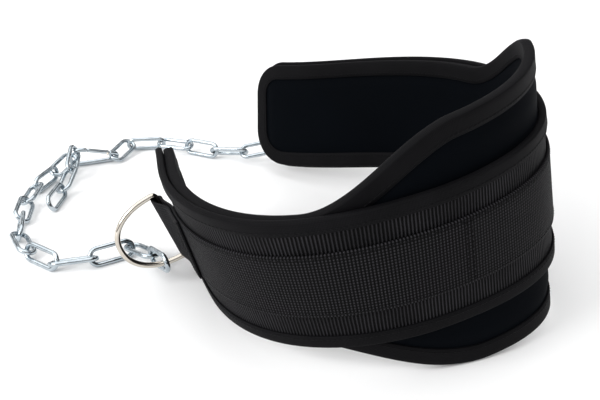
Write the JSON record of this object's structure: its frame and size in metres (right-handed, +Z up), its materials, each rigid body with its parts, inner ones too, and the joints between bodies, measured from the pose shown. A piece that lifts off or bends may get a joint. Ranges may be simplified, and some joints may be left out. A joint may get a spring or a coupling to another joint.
{
  "type": "weightlifting dip belt with loading chain",
  "caption": "Contoured neoprene dip belt with a webbing load strap, two D-rings and a steel loading chain joined by a spring hook.",
  "frame": {"origin": "middle of the bounding box in plan, at floor level", "axes": "+Z up; the belt stands on its edge and opens towards -X, where the chain lies; +Y runs from the near end to the far end"},
  "size_m": [0.449, 0.4052, 0.1934],
  "materials": {
    "neoprene": "matte",
    "binding": "matte",
    "webbing": "ribbed",
    "strapping": "woven",
    "nickel": "polished",
    "zinc": "bright zinc plated"
  },
  "bodies": {
    "belt": {"pad": "neoprene", "pad_binding": "binding", "outer_band": "webbing", "band_binding": "binding", "strap": "strapping", "d_ring_near": "nickel", "d_ring_far": "nickel", "spring_hook": "zinc", "chain_link_01": "zinc", "chain_link_02": "zinc", "chain_link_03": "zinc", "chain_link_04": "zinc", "chain_link_05": "zinc", "chain_link_06": "zinc", "chain_link_07": "zinc", "chain_link_08": "zinc", "chain_link_09": "zinc", "chain_link_10": "zinc", "chain_link_11": "zinc", "chain_link_12": "zinc", "chain_link_13": "zinc", "chain_link_14": "zinc", "chain_link_15": "zinc", "chain_link_16": "zinc", "chain_link_17": "zinc", "chain_link_18": "zinc", "chain_link_19": "zinc", "chain_link_20": "zinc", "chain_link_21": "zinc"},
    "gate": {"hook_gate": "zinc"}
  },
  "joints": [
    {"name": "gate_swing", "type": "hinge", "parent": "belt", "child": "gate", "pos_m": [-0.16207, 0.15773, 0.01356], "axis": [0.3149, -0.8335, -0.454], "range_deg": [0, 22], "stiffness_Nm_per_rad": 0.01, "springref_deg": -8.59}
  ]
}
